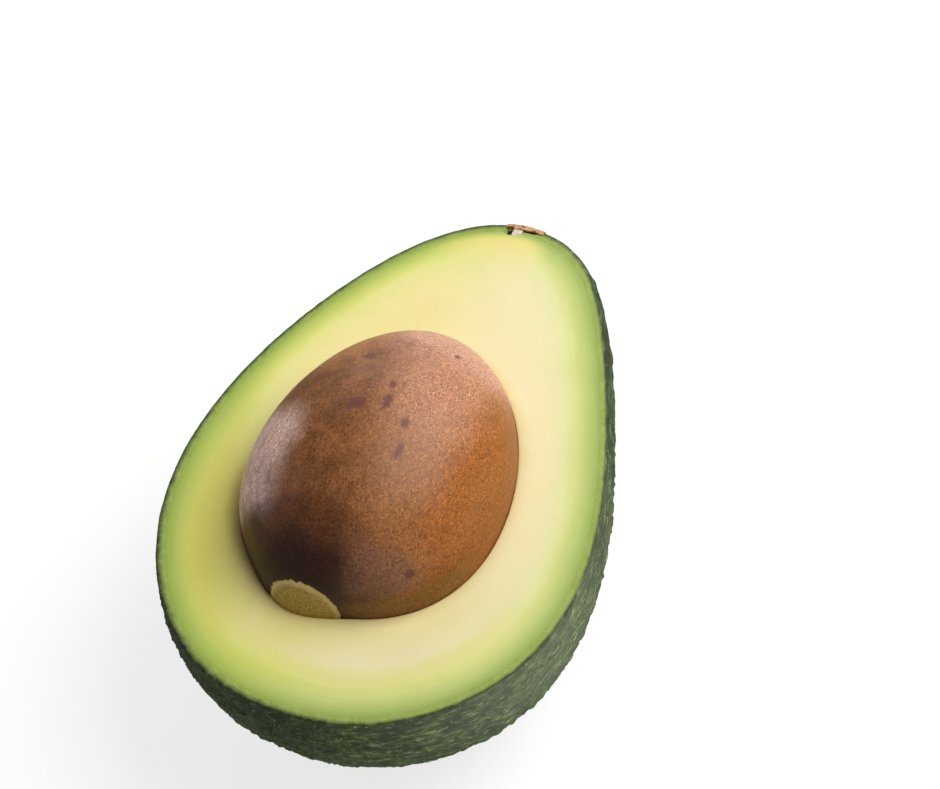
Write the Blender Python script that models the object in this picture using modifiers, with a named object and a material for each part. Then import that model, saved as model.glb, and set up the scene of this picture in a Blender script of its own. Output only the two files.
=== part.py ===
"""Half an avocado, cut lengthwise, lying on its back with the stone still in place.

Units are metres and +Z is up. The fruit lies along X with its stem end at +X. The origin is on the
surface that the fruit rests on, below the middle of its length. The cut face is level and looks up.

Four pieces come apart: the peel, the flesh inside it, the stone in the flesh's hollow, and the dry
stem scar at the neck's tip.
"""

import math

import bpy
from mathutils import Matrix, Vector

MM = 0.001

# The whole fruit: a pear shape turned about its own axis, a little flatter than it is wide.
FRUIT_HALF_LENGTH = 51.0 * MM
FRUIT_RADIUS = 36.1 * MM
FRUIT_END_POWER = 0.84
FRUIT_TAPER = (-0.297, -0.092, 0.122)
FRUIT_HEIGHT_RATIO = 0.92

# A grown fruit is not quite even: its axis sways sideways. The numbers weigh the powers of x over
# the half length, from none upwards.
FRUIT_SWAY = (0.25 * MM, 1.81 * MM, -0.92 * MM, -2.97 * MM)

# The knife passes above the fruit's axis, so this is the fuller half.
CUT_ABOVE_AXIS = 6.0 * MM
REST_FLAT_DEPTH = 1.3 * MM

PEEL_THICKNESS = 1.4 * MM
GAP = 0.3 * MM

# The stone: a blunt egg, its round end towards the fruit's round end.
STONE_HALF_LENGTH = 27.2 * MM
STONE_RADIUS = 22.2 * MM
STONE_END_POWER = 1.05
STONE_TAPER = (-0.14, 0.08)
STONE_OFFSET = Vector((-4.5, 1.7, -1.0)) * MM
STONE_PITCH = math.radians(3.0)

# The stem scar: a small woody button let into the neck's tip, cut through with the fruit.
SCAR_RADIUS = 3.6 * MM
SCAR_THICKNESS = 2.0 * MM
SCAR_FACE_X = 50.2 * MM
SCAR_OFFSET_Y = -0.3 * MM
SCAR_YAW = math.radians(6.0)
SCAR_EDGE_ROUND = 0.5 * MM
SCAR_POCKET_REACH = 3.0 * MM

FRUIT_PROFILE_STEPS = 24
FRUIT_TURN_STEPS = 48
STONE_PROFILE_STEPS = 18
STONE_TURN_STEPS = 36
SCAR_TURN_STEPS = 24
SCAR_ROUND_STEPS = 3

MERGE_DISTANCE = 0.005 * MM
KNIFE_REACH = 80.0 * MM
SHARP_ANGLE = math.radians(35.0)


def clear_scene():
    """Start from an empty scene."""
    for leftover in list(bpy.data.objects):
        bpy.data.objects.remove(leftover, do_unlink=True)


def new_collection(name):
    """Add a collection to the scene."""
    group = bpy.data.collections.new(name)
    bpy.context.scene.collection.children.link(group)
    return group


def egg_outline(half_length, radius, end_power, taper, steps):
    """Side of an egg or pear shape as (x, radius) points, from its +X tip to its -X tip.

    The taper's numbers weigh the first, second and later powers of x over the half length.
    """
    points = [(half_length, 0.0)]
    for step in range(1, steps):
        angle = math.pi * step / steps
        along = math.cos(angle)
        fullness = 1.0 + sum(weight * along ** (power + 1) for power, weight in enumerate(taper))
        points.append((half_length * along, radius * math.sin(angle) ** end_power * fullness))
    points.append((-half_length, 0.0))
    return points


def fruit_outline(inset):
    """Side of the whole fruit, drawn in by the inset."""
    return egg_outline(
        FRUIT_HALF_LENGTH - inset, FRUIT_RADIUS - inset, FRUIT_END_POWER, FRUIT_TAPER,
        FRUIT_PROFILE_STEPS)


def fruit_sway(x):
    """How far the fruit's axis lies to the side at a place along it."""
    along = x / FRUIT_HALF_LENGTH
    return sum(weight * along ** power for power, weight in enumerate(FRUIT_SWAY))


def stone_outline(growth):
    """Side of the stone, or of the hollow around it where it grows."""
    return egg_outline(
        STONE_HALF_LENGTH + growth, STONE_RADIUS + growth, STONE_END_POWER, STONE_TAPER,
        STONE_PROFILE_STEPS)


def scar_outline():
    """Side of the round stem scar, with its outer edge rounded."""
    points = [(SCAR_THICKNESS, 0.0)]
    for step in range(SCAR_ROUND_STEPS + 1):
        angle = 0.5 * math.pi * step / SCAR_ROUND_STEPS
        x = SCAR_THICKNESS - SCAR_EDGE_ROUND * (1.0 - math.cos(angle))
        points.append((x, SCAR_RADIUS - SCAR_EDGE_ROUND * (1.0 - math.sin(angle))))
    points.append((0.0, SCAR_RADIUS))
    points.append((0.0, 0.0))
    return points


def scar_pocket_outline():
    """Side of the pocket that the stem scar sits in, open past the neck's tip."""
    front = SCAR_THICKNESS + SCAR_POCKET_REACH
    rim = SCAR_RADIUS + GAP
    return [(front, 0.0), (front, rim), (-GAP, rim), (-GAP, 0.0)]


def turned_body(name, outline, steps):
    """Closed body made by turning an outline about X."""
    mesh = bpy.data.meshes.new(name)
    points = [(x, radius, 0.0) for x, radius in outline]
    edges = [(index, index + 1) for index in range(len(points) - 1)]
    mesh.from_pydata(points, edges, [])
    body = bpy.data.objects.new(name, mesh)
    turn = body.modifiers.new("turn", "SCREW")
    turn.axis = "X"
    turn.angle = math.tau
    turn.steps = steps
    turn.render_steps = steps
    turn.use_merge_vertices = True
    turn.merge_threshold = MERGE_DISTANCE
    return body


def freeze(body):
    """Turn a body's modelling steps into its plain mesh."""
    bpy.context.scene.collection.objects.link(body)
    bpy.context.view_layer.update()
    solid = bpy.data.meshes.new_from_object(body.evaluated_get(bpy.context.evaluated_depsgraph_get()))
    bpy.context.scene.collection.objects.unlink(body)
    solid.name = body.name
    body.modifiers.clear()
    body.data = solid


def knife_box(name, low_z, high_z):
    """Wide flat box between two heights."""
    bpy.ops.mesh.primitive_cube_add(size=1.0)
    box = bpy.context.object
    box.name = name
    size = Vector((2.0 * KNIFE_REACH, 2.0 * KNIFE_REACH, high_z - low_z))
    middle = Vector((0.0, 0.0, 0.5 * (low_z + high_z)))
    box.data.transform(Matrix.Translation(middle) @ Matrix.Diagonal(size).to_4x4())
    for group in list(box.users_collection):
        group.objects.unlink(box)
    return box


def cut_away(body, cutter):
    """Take a cutter's shape out of a body."""
    step = body.modifiers.new("less " + cutter.name, "BOOLEAN")
    step.operation = "DIFFERENCE"
    step.solver = "EXACT"
    step.object = cutter


def keep_as_cutter(cutter, cutters):
    """File a cutter away so that it is never shown as part of the fruit."""
    cutters.objects.link(cutter)
    cutter.hide_render = True
    cutter.display_type = "WIRE"
    return cutter


def finish(name, colour, roughness):
    """Material of one piece."""
    material = bpy.data.materials.new(name)
    material.use_nodes = True
    shader = material.node_tree.nodes["Principled BSDF"]
    shader.inputs["Base Color"].default_value = (*colour, 1.0)
    shader.inputs["Roughness"].default_value = roughness
    shader.inputs["Metallic"].default_value = 0.0
    material.diffuse_color = (*colour, 1.0)
    return material


def add_piece(body, material, whole, fruit_group):
    """File a finished piece with the fruit, smooth except at its cut edges."""
    freeze(body)
    fruit_group.objects.link(body)
    body.parent = whole
    body.data.materials.clear()
    body.data.materials.append(material)
    body.data.shade_smooth()
    body.data.set_sharp_from_angle(angle=SHARP_ANGLE)


def build():
    """Model the half fruit."""
    clear_scene()
    fruit_group = new_collection("avocado_half")
    cutters = new_collection("cutters")

    deepest = FRUIT_HEIGHT_RATIO * max(radius for _, radius in fruit_outline(0.0))
    axis_height = deepest - REST_FLAT_DEPTH
    cut_height = axis_height + CUT_ABOVE_AXIS
    flattened = Vector((1.0, 1.0, FRUIT_HEIGHT_RATIO))
    on_axis = Vector((0.0, 0.0, axis_height))

    whole = bpy.data.objects.new("avocado_half", None)
    fruit_group.objects.link(whole)

    above_cut = keep_as_cutter(knife_box("above_cut", cut_height, KNIFE_REACH), cutters)

    def fruit_body(name, inset, flat_height):
        """The fruit drawn in by an inset, with its back cut flat at a height."""
        body = turned_body(name, fruit_outline(inset), FRUIT_TURN_STEPS)
        freeze(body)
        for vertex in body.data.vertices:
            vertex.co.y += fruit_sway(vertex.co.x)
        body.location = on_axis
        body.scale = flattened
        below_flat = knife_box("below_" + name, -KNIFE_REACH, flat_height)
        cut_away(body, keep_as_cutter(below_flat, cutters))
        return body

    def stone_body(name, growth):
        """The stone as it lies, or the hollow that it leaves."""
        body = turned_body(name, stone_outline(growth), STONE_TURN_STEPS)
        body.location = STONE_OFFSET + Vector((0.0, 0.0, cut_height))
        body.rotation_euler = (0.0, -STONE_PITCH, 0.0)
        return body

    def scar_body(name, outline):
        """The stem scar at the neck's tip, or the pocket around it."""
        body = turned_body(name, outline, SCAR_TURN_STEPS)
        body.location = (SCAR_FACE_X - SCAR_THICKNESS, SCAR_OFFSET_Y, cut_height)
        body.rotation_euler = (0.0, 0.0, SCAR_YAW)
        return body

    flesh_room = keep_as_cutter(fruit_body("flesh_room", PEEL_THICKNESS, PEEL_THICKNESS), cutters)
    stone_room = keep_as_cutter(stone_body("stone_room", GAP), cutters)
    scar_room = keep_as_cutter(scar_body("scar_room", scar_pocket_outline()), cutters)

    peel = fruit_body("peel", 0.0, 0.0)
    cut_away(peel, above_cut)
    cut_away(peel, flesh_room)
    cut_away(peel, scar_room)
    add_piece(peel, finish("peel", (0.055, 0.105, 0.030), 0.45), whole, fruit_group)

    flesh = fruit_body("flesh", PEEL_THICKNESS + GAP, PEEL_THICKNESS + GAP)
    cut_away(flesh, above_cut)
    cut_away(flesh, stone_room)
    cut_away(flesh, scar_room)
    add_piece(flesh, finish("flesh", (0.78, 0.76, 0.36), 0.40), whole, fruit_group)

    stone = stone_body("stone", 0.0)
    add_piece(stone, finish("stone", (0.30, 0.11, 0.045), 0.40), whole, fruit_group)

    scar = scar_body("stem_scar", scar_outline())
    cut_away(scar, above_cut)
    add_piece(scar, finish("stem_scar", (0.38, 0.22, 0.10), 0.85), whole, fruit_group)


build()
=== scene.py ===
"""Half an avocado with its stone still in place: the finished surfaces, and a plain studio around them.

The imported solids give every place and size. Each of them is replaced by a finely modelled piece: the
pebbly rind with its breathing pores, the cut flesh, the stone in its papery coat and the dry stem scar.
Units are metres, +Z is up, and the stem end is at +X.
"""

import math

import bmesh
import bpy
import numpy as np
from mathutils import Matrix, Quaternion, Vector
from mathutils.kdtree import KDTree


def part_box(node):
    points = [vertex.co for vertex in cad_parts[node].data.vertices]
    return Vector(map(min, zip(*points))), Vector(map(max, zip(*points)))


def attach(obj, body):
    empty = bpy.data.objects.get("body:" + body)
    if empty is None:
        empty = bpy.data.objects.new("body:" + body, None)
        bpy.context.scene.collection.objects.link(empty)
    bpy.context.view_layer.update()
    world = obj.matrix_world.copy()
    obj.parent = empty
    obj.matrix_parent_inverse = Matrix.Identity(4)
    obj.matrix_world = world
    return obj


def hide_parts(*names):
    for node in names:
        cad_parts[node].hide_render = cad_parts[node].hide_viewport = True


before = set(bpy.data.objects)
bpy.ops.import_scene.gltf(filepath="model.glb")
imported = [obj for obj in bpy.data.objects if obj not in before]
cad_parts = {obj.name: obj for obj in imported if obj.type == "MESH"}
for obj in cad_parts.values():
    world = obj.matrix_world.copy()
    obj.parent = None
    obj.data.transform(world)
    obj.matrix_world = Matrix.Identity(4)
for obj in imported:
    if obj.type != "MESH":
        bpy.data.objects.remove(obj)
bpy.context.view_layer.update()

MM = 0.001

# ---------------------------------------------------------------------------------------------
# Sizes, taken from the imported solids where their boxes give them
# ---------------------------------------------------------------------------------------------

PEEL_LOW, PEEL_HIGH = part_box("peel")
FLESH_LOW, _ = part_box("flesh")
SCAR_LOW, SCAR_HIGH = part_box("stem_scar")

CUT_HEIGHT = PEEL_HIGH[2]
PEEL_THICKNESS = 1.4 * MM
FLESH_CLEARANCE = FLESH_LOW[2] - PEEL_THICKNESS

# The whole fruit's pear shape and the stone's egg shape, as turned bodies along X.
FRUIT_END_POWER = 0.84
FRUIT_TAPER = (-0.297, -0.092, 0.122)
FRUIT_HEIGHT_RATIO = 0.92
FRUIT_SWAY = (0.25 * MM, 1.81 * MM, -0.92 * MM, -2.97 * MM)
CUT_ABOVE_AXIS = 6.0 * MM
STONE_END_POWER = 1.05
STONE_TAPER = (-0.14, 0.08)
STONE_CENTRE = Vector((-4.5, 1.7, -1.0)) * MM + Vector((0.0, 0.0, CUT_HEIGHT))
STONE_PITCH = math.radians(3.0)
STONE_HALF_LENGTH = 27.2 * MM
STONE_RADIUS = 22.2 * MM
FRUIT_RADIUS = 36.1 * MM
FRUIT_HALF_LENGTH = 0.5 * (PEEL_HIGH[0] - PEEL_LOW[0])

# The middle of the cut face, from which the rows of the peel and the scar are spread.
FRUIT_MIDDLE = np.array((0.0, 0.0, CUT_HEIGHT))


def fruit_sway(x):
    """How far the fruit's axis lies to the side at a place along it."""
    along = x / FRUIT_HALF_LENGTH
    return sum(weight * along ** power for power, weight in enumerate(FRUIT_SWAY))


def no_sway(x):
    """A straight axis."""
    return 0.0 * x


# How often the search for a surface halves its span, and the first span in half lengths.
HALVINGS = 40
SEARCH_SPAN = 3.0


class TurnedEgg:
    """An egg or pear turned about its own X axis, which may sway sideways."""

    def __init__(
            self, centre, half_length, radius, end_power, taper, height_ratio=1.0, pitch=0.0,
            sway=no_sway):
        self.centre = np.array(centre)
        self.half_length = half_length
        self.radius = radius
        self.end_power = end_power
        self.taper = taper
        self.height_ratio = height_ratio
        self.pitch = pitch
        self.sway = sway

    def shrunk(self, depth):
        """The same shape, drawn in by a depth."""
        return TurnedEgg(
            self.centre, self.half_length - depth, self.radius - depth, self.end_power,
            self.taper, self.height_ratio, self.pitch, self.sway)

    def radius_at(self, x):
        """Radius at a distance along the axis, and nought past the ends."""
        along = np.clip(x / self.half_length, -1.0, 1.0)
        fullness = 1.0 + sum(weight * along ** (power + 1) for power, weight in enumerate(self.taper))
        return self.radius * (1.0 - along ** 2) ** (0.5 * self.end_power) * fullness

    def to_axis_frame(self, points):
        """Points seen along the shape's own axis."""
        moved = points - self.centre
        cosine = math.cos(self.pitch)
        sine = math.sin(self.pitch)
        along = moved[:, 0] * cosine + moved[:, 2] * sine
        up = -moved[:, 0] * sine + moved[:, 2] * cosine
        side = moved[:, 1] - self.sway(along)
        return np.stack((along, side, up / self.height_ratio), axis=1)

    def from_axis_frame(self, points):
        """Points in the shape's own axis frame, put back in place."""
        cosine = math.cos(self.pitch)
        sine = math.sin(self.pitch)
        up = points[:, 2] * self.height_ratio
        x = points[:, 0] * cosine - up * sine
        z = points[:, 0] * sine + up * cosine
        return np.stack((x, points[:, 1] + self.sway(points[:, 0]), z), axis=1) + self.centre

    def holds(self, points):
        """Which points lie inside."""
        own = self.to_axis_frame(points)
        within = np.abs(own[:, 0]) < self.half_length
        return within & (np.hypot(own[:, 1], own[:, 2]) < self.radius_at(own[:, 0]))

    def reach(self, start, directions):
        """Distance from an inner point to the surface along each direction."""
        near = np.zeros(len(directions))
        far = np.full(len(directions), SEARCH_SPAN * self.half_length)
        for _ in range(HALVINGS):
            middle = 0.5 * (near + far)
            inside = self.holds(start + directions * middle[:, None])
            near = np.where(inside, middle, near)
            far = np.where(inside, far, middle)
        return 0.5 * (near + far)


FRUIT = TurnedEgg(
    (0.0, 0.0, CUT_HEIGHT - CUT_ABOVE_AXIS), FRUIT_HALF_LENGTH, FRUIT_RADIUS,
    FRUIT_END_POWER, FRUIT_TAPER, FRUIT_HEIGHT_RATIO, sway=fruit_sway)
STONE = TurnedEgg(
    STONE_CENTRE, STONE_HALF_LENGTH, STONE_RADIUS, STONE_END_POWER, STONE_TAPER,
    pitch=STONE_PITCH)

# The round scar at the stone's blunt end, where that end starts, and how far it bulges there.
BASE_SCAR_OFFSET = Vector((0.0, 2.2, 2.5)) * MM
BASE_SCAR_RADIUS = 6.3 * MM
BASE_SCAR_RAGGED = 0.9 * MM
BASE_START = -0.3 * STONE_HALF_LENGTH
BASE_FULL = -0.5 * STONE_HALF_LENGTH
BASE_BULGE = 2.0 * MM
BASE_BULGE_REACH = 12.0 * MM
BASE_BULGE_OFFSET = Vector((0.0, 5.0, 1.9)) * MM
BASE_BULGE_RUN_OUT = 10.0 * MM


def smooth_step(value):
    """Eases from 0 to 1 on an array."""
    value = np.clip(value, 0.0, 1.0)
    return value * value * (3.0 - 2.0 * value)


def blunt_base(own):
    """Pushes out the stone's blunt end around its base scar, in the stone's own frame."""
    from_middle = np.hypot(own[:, 1] - BASE_BULGE_OFFSET.y, own[:, 2] - BASE_BULGE_OFFSET.z)
    share = smooth_step(1.0 - from_middle / BASE_BULGE_REACH) * smooth_step(-own[:, 0] / BASE_BULGE_RUN_OUT)
    pushed = own.copy()
    pushed[:, 0] -= BASE_BULGE * share
    return pushed


# ---------------------------------------------------------------------------------------------
# Node trees written as arithmetic
# ---------------------------------------------------------------------------------------------


class Wire:
    """A value in a node tree. Arithmetic on it adds Math nodes, or Vector Math nodes for vectors."""

    def __init__(self, board, socket):
        self.board = board
        self.socket = socket

    def _combine(self, operation, first, second=None):
        sides = [side for side in (first, second) if side is not None]
        vector = any(isinstance(side, Vector) for side in sides)
        vector = vector or any(isinstance(side, Wire) and side.socket.type == "VECTOR" for side in sides)
        kind = "ShaderNodeVectorMath" if vector else "ShaderNodeMath"
        return self.board.add(kind, {"operation": operation}, dict(enumerate(sides)))

    def __add__(self, other):
        return self._combine("ADD", self, other)

    def __radd__(self, other):
        return self._combine("ADD", other, self)

    def __sub__(self, other):
        return self._combine("SUBTRACT", self, other)

    def __rsub__(self, other):
        return self._combine("SUBTRACT", other, self)

    def __mul__(self, other):
        return self._combine("MULTIPLY", self, other)

    def __rmul__(self, other):
        return self._combine("MULTIPLY", other, self)

    def __truediv__(self, other):
        return self._combine("DIVIDE", self, other)

    def __rtruediv__(self, other):
        return self._combine("DIVIDE", other, self)

    def least(self, other):
        """The smaller of two values."""
        return self._combine("MINIMUM", self, other)

    def most(self, other):
        """The larger of two values."""
        return self._combine("MAXIMUM", self, other)

    def length(self):
        """Length of a vector."""
        return self.board.add("ShaderNodeVectorMath", {"operation": "LENGTH"}, {0: self}, output=1)

    def unit(self):
        """Vector of the same direction and length one."""
        return self._combine("NORMALIZE", self)

    def part(self, axis):
        """One coordinate of a vector: 0, 1 or 2."""
        return self.board.add("ShaderNodeSeparateXYZ", inputs={0: self}, output=axis)

    def ease(self, low, high, start=0.0, end=1.0):
        """Goes smoothly from start to end as the value goes from low to high."""
        return self.board.add(
            "ShaderNodeMapRange", {"interpolation_type": "SMOOTHSTEP"},
            {"Value": self, "From Min": low, "From Max": high, "To Min": start, "To Max": end})


class Board:
    """A node tree under construction."""

    def __init__(self, tree):
        self.tree = tree

    def add(self, kind, settings=None, inputs=None, output=0):
        """Adds a node, sets its settings and then its sockets, and gives one of its outputs."""
        node = self.tree.nodes.new(kind)
        for name, value in (settings or {}).items():
            if name == "stops":
                set_stops(node.color_ramp, value)
            else:
                setattr(node, name, value)
        for key, value in (inputs or {}).items():
            socket = node.inputs[key]
            if isinstance(value, Wire):
                self.tree.links.new(value.socket, socket)
            elif socket.type == "VECTOR" and isinstance(value, (int, float)):
                socket.default_value = (value, value, value)
            elif socket.type == "RGBA":
                socket.default_value = (*value[:3], 1.0)
            else:
                socket.default_value = value
        return Wire(self, node.outputs[output])

    def blend(self, share, first, second, way="MIX"):
        """Mixes two colours."""
        return self.add(
            "ShaderNodeMix", {"data_type": "RGBA", "blend_type": way}, {0: share, 6: first, 7: second},
            output=2)

    def noise(self, place, size, detail=3.0, roughness=0.55, distortion=0.0):
        """Soft noise from 0 to 1 whose patches are about one size across."""
        return self.add(
            "ShaderNodeTexNoise", {"noise_dimensions": "3D"},
            {"Vector": place / size, "Scale": 1.0, "Detail": detail, "Roughness": roughness,
             "Distortion": distortion})

    def domes(self, place, size, smoothness=0.35):
        """Rounded bumps from 0 to 1, about one size apart."""
        distance = self.add(
            "ShaderNodeTexVoronoi", {"feature": "SMOOTH_F1"},
            {"Vector": place / size, "Scale": 1.0, "Smoothness": smoothness}, "Distance")
        return distance.ease(0.05, 0.75, 1.0, 0.0)

    def bump(self, height, strength, distance):
        """A normal roughened by a height, for a distance in metres."""
        return self.add(
            "ShaderNodeBump", inputs={"Strength": strength, "Distance": distance, "Height": height})

    def attribute(self, name):
        """A number stored on the mesh, read in a material."""
        return self.add("ShaderNodeAttribute", {"attribute_name": name}, output="Fac")

    def stored(self, name):
        """A number stored on the mesh, read while the mesh is grown."""
        return self.add("GeometryNodeInputNamedAttribute", {"data_type": "FLOAT"}, {"Name": name})


def set_stops(ramp, stops):
    """Fills a colour ramp with (place, colour) stops."""
    while len(ramp.elements) > 1:
        ramp.elements.remove(ramp.elements[-1])
    ramp.elements[0].position = stops[0][0]
    ramp.elements[0].color = (*stops[0][1], 1.0)
    for place, colour in stops[1:]:
        element = ramp.elements.new(place)
        element.color = (*colour, 1.0)


def srgb(red, green, blue):
    """Linear colour for a screen colour in 0 to 255."""
    def linear(value):
        value = value / 255.0
        return value / 12.92 if value <= 0.04045 else ((value + 0.055) / 1.055) ** 2.4
    return (linear(red), linear(green), linear(blue))


# ---------------------------------------------------------------------------------------------
# Meshes
# ---------------------------------------------------------------------------------------------


SHARP_ANGLE = math.radians(60.0)


def new_piece(name, points, faces, numbers=None):
    """A closed mesh object, smooth but for sharp rims; numbers are stored by name on its points."""
    mesh = bpy.data.meshes.new(name)
    mesh.from_pydata([tuple(point) for point in points], [], faces)
    for label, values in (numbers or {}).items():
        store = mesh.attributes.new(label, "FLOAT", "POINT")
        store.data.foreach_set("value", np.asarray(values, dtype=np.float32))
    shape = bmesh.new()
    shape.from_mesh(mesh)
    bmesh.ops.recalc_face_normals(shape, faces=shape.faces)
    if shape.calc_volume(signed=True) < 0.0:
        bmesh.ops.reverse_faces(shape, faces=shape.faces)
    shape.to_mesh(mesh)
    shape.free()
    mesh.shade_smooth()
    mesh.set_sharp_from_angle(angle=SHARP_ANGLE)
    piece = bpy.data.objects.new(name, mesh)
    bpy.context.scene.collection.objects.link(piece)
    return piece


def grow(piece, title, grower, sizes, material):
    """Runs a Geometry Nodes tree on a piece and keeps the result as the piece's plain mesh."""
    kinds = {Vector: "NodeSocketVector", float: "NodeSocketFloat", int: "NodeSocketInt"}
    tree = bpy.data.node_groups.new(title, "GeometryNodeTree")
    board = Board(tree)
    tree.interface.new_socket("Geometry", in_out="OUTPUT", socket_type="NodeSocketGeometry")
    tree.interface.new_socket("Geometry", in_out="INPUT", socket_type="NodeSocketGeometry")
    sockets = {}
    for name, value in sizes.items():
        sockets[name] = tree.interface.new_socket(name, in_out="INPUT", socket_type=kinds[type(value)])
    entry = tree.nodes.new("NodeGroupInput")
    given = {name: Wire(board, entry.outputs[name]) for name in sizes}
    shape = grower(board, Wire(board, entry.outputs["Geometry"]), given)
    shape = board.add("GeometryNodeRealizeInstances", inputs={"Geometry": shape})
    shape = board.add("GeometryNodeSetMaterial", inputs={"Geometry": shape, "Material": material})
    leave = tree.nodes.new("NodeGroupOutput")
    tree.links.new(shape.socket, leave.inputs["Geometry"])
    step = piece.modifiers.new(title, "NODES")
    step.node_group = tree
    for name, socket in sockets.items():
        step[socket.identifier] = sizes[name]
    bpy.context.view_layer.update()
    graph = bpy.context.evaluated_depsgraph_get()
    grown = bpy.data.meshes.new_from_object(piece.evaluated_get(graph))
    grown.name = piece.name
    piece.modifiers.remove(step)
    piece.data = grown
    return piece


def halving_rings(first_ring, first_count, rows, place_row, points):
    """Closes a ring of points with rows that thin out to one last point.

    rows lists (count, share) from the first ring inwards; each count equals the one before or is
    half of it. place_row gives the points of a row. Returns the new faces.
    """
    faces = []
    above_start = first_ring
    above_count = first_count
    for count, share in rows:
        start = len(points)
        points.extend(place_row(count, share))
        for index in range(count):
            here = start + index
            after = start + (index + 1) % count
            if count == above_count:
                upper = above_start + index
                upper_after = above_start + (index + 1) % count
                faces.append((upper, upper_after, after, here))
            else:
                upper = above_start + 2 * index
                upper_middle = above_start + 2 * index + 1
                upper_after = above_start + (2 * index + 2) % above_count
                faces.append((upper, upper_middle, here))
                faces.append((upper_middle, after, here))
                faces.append((upper_middle, upper_after, after))
        above_start = start
        above_count = count
    last = len(points)
    points.extend(place_row(1, 1.0))
    for index in range(above_count):
        faces.append((above_start + index, above_start + (index + 1) % above_count, last))
    return faces


def level_directions(count, first_turn=0.0):
    """Evenly spaced level directions."""
    turn = first_turn + np.arange(count) * math.tau / count
    return np.stack((np.cos(turn), np.sin(turn), np.zeros(count)), axis=1)


def bowl_row(egg, middle, floor_height=None, first_turn=0.0):
    """A function that gives a row of points on an egg below a middle point.

    A row's share goes from 0, level with the middle, to 1, straight below it.
    """
    def place_row(count, share):
        dip = 0.5 * math.pi * share
        directions = level_directions(count, first_turn) * math.cos(dip)
        directions[:, 2] = -math.sin(dip)
        spots = middle + directions * egg.reach(middle, directions)[:, None]
        if floor_height is not None:
            spots[:, 2] = np.maximum(spots[:, 2], floor_height)
        return list(spots)
    return place_row


HIDDEN_ROW_SHARES = (0.015, 0.035, 0.065, 0.11, 0.17, 0.25, 0.34, 0.43, 0.52, 0.61, 0.70, 0.79, 0.88, 0.95)


def hidden_rows(count, coarsest):
    """Rows for a wall that no one sees: each thinner than the last, down to the coarsest."""
    rows = []
    for share in HIDDEN_ROW_SHARES:
        if count // 2 >= coarsest:
            count = count // 2
        rows.append((count, share))
    return rows


# ---------------------------------------------------------------------------------------------
# Where the stem scar lies
# ---------------------------------------------------------------------------------------------

SCAR_SIDE = 0.5 * (SCAR_LOW[1] + SCAR_HIGH[1])
SCAR_HALF_WIDTH = 0.5 * (SCAR_HIGH[1] - SCAR_LOW[1])
SCAR_PROUD = 0.2 * MM
SCAR_SLIM_DEPTH = 1.45 * MM
SCAR_FULL_DEPTH = 2.6 * MM
SCAR_NOTCH = 1.0 * MM
SCAR_OVERLAP = 0.3 * MM
# Only this far along the fruit, in half lengths, can a point of the cut lie below the scar.
NECK_TIP_START = 0.8


def scar_width(side):
    """How far the scar reaches in from the rim; side goes from -1 at its -Y end to 1 at its +Y end."""
    full = smooth_step((side + 0.15) / 0.6)
    closing = np.sqrt(np.clip(1.0 - np.abs(side) ** np.where(side > 0.0, 14.0, 4.0), 0.0, 1.0))
    return (SCAR_SLIM_DEPTH + (SCAR_FULL_DEPTH - SCAR_SLIM_DEPTH) * full) * closing


def notch_for_scar(points):
    """Lowers the cut's points below the scar, out of its way."""
    points = np.array(points)
    flat = points - FRUIT_MIDDLE
    reach = np.hypot(flat[:, 0], flat[:, 1])
    side = (points[:, 1] - SCAR_SIDE) / SCAR_HALF_WIDTH
    near = (flat[:, 0] > NECK_TIP_START * FRUIT_HALF_LENGTH) & (np.abs(side) < 1.0)
    directions = np.where(near[:, None], flat, np.array((1.0, 0.0, 0.0)))
    directions[:, 2] = 0.0
    directions /= np.linalg.norm(directions, axis=1)[:, None]
    rim = FRUIT.reach(FRUIT_MIDDLE, directions)
    inside = np.minimum(
        reach - (rim + SCAR_PROUD - scar_width(side)), (1.0 - np.abs(side)) * SCAR_HALF_WIDTH)
    share = smooth_step((inside - SCAR_OVERLAP) / SCAR_OVERLAP)
    lowered = np.minimum(points[:, 2], CUT_HEIGHT - SCAR_NOTCH * share)
    points[:, 2] = np.where(near, lowered, points[:, 2])
    return points


# ---------------------------------------------------------------------------------------------
# Peel
# ---------------------------------------------------------------------------------------------

PEEL_GRID = 288
PEEL_HIDDEN_COLUMNS = 72
PEEL_EDGE_DEPTHS = (0.10 * MM, 0.24 * MM, 0.45 * MM, 0.75 * MM, 1.10 * MM, PEEL_THICKNESS)
PEEL_EDGE_DROPS = (0.02 * MM, 0.0, 0.0, 0.0, 0.0, 0.0)
PEEL_OUTER_DROP = 0.10 * MM

# From the first of these y places to the second, the rind's folds and streaks turn long and level.
CRINKLE_START = 8.0 * MM
CRINKLE_FULL = -14.0 * MM


def square_to_bowl(count):
    """Directions into the lower half space from a square grid, evenly spread, rim level."""
    side = np.linspace(-1.0, 1.0, count + 1)
    across, along = np.meshgrid(side, side)
    across = across.ravel()
    along = along.ravel()
    wide = np.abs(across) > np.abs(along)
    ring = np.where(wide, across, along)
    safe_across = np.where(wide, across, 1.0)
    safe_along = np.where(wide | (along == 0.0), 1.0, along)
    turn = np.where(
        wide, 0.25 * math.pi * along / safe_across, 0.5 * math.pi - 0.25 * math.pi * across / safe_along)
    spread = np.abs(ring) * np.sqrt(2.0 - ring ** 2)
    sign = np.sign(ring)
    return np.stack((sign * spread * np.cos(turn), sign * spread * np.sin(turn), ring ** 2 - 1.0), axis=1)


def square_edge(count):
    """Indices of a square grid's outer points, once round."""
    last = count
    row = count + 1
    bottom = [index for index in range(last)]
    right = [index * row + last for index in range(last)]
    top = [last * row + last - index for index in range(last)]
    left = [(last - index) * row for index in range(last)]
    return bottom + right + top + left


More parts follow.
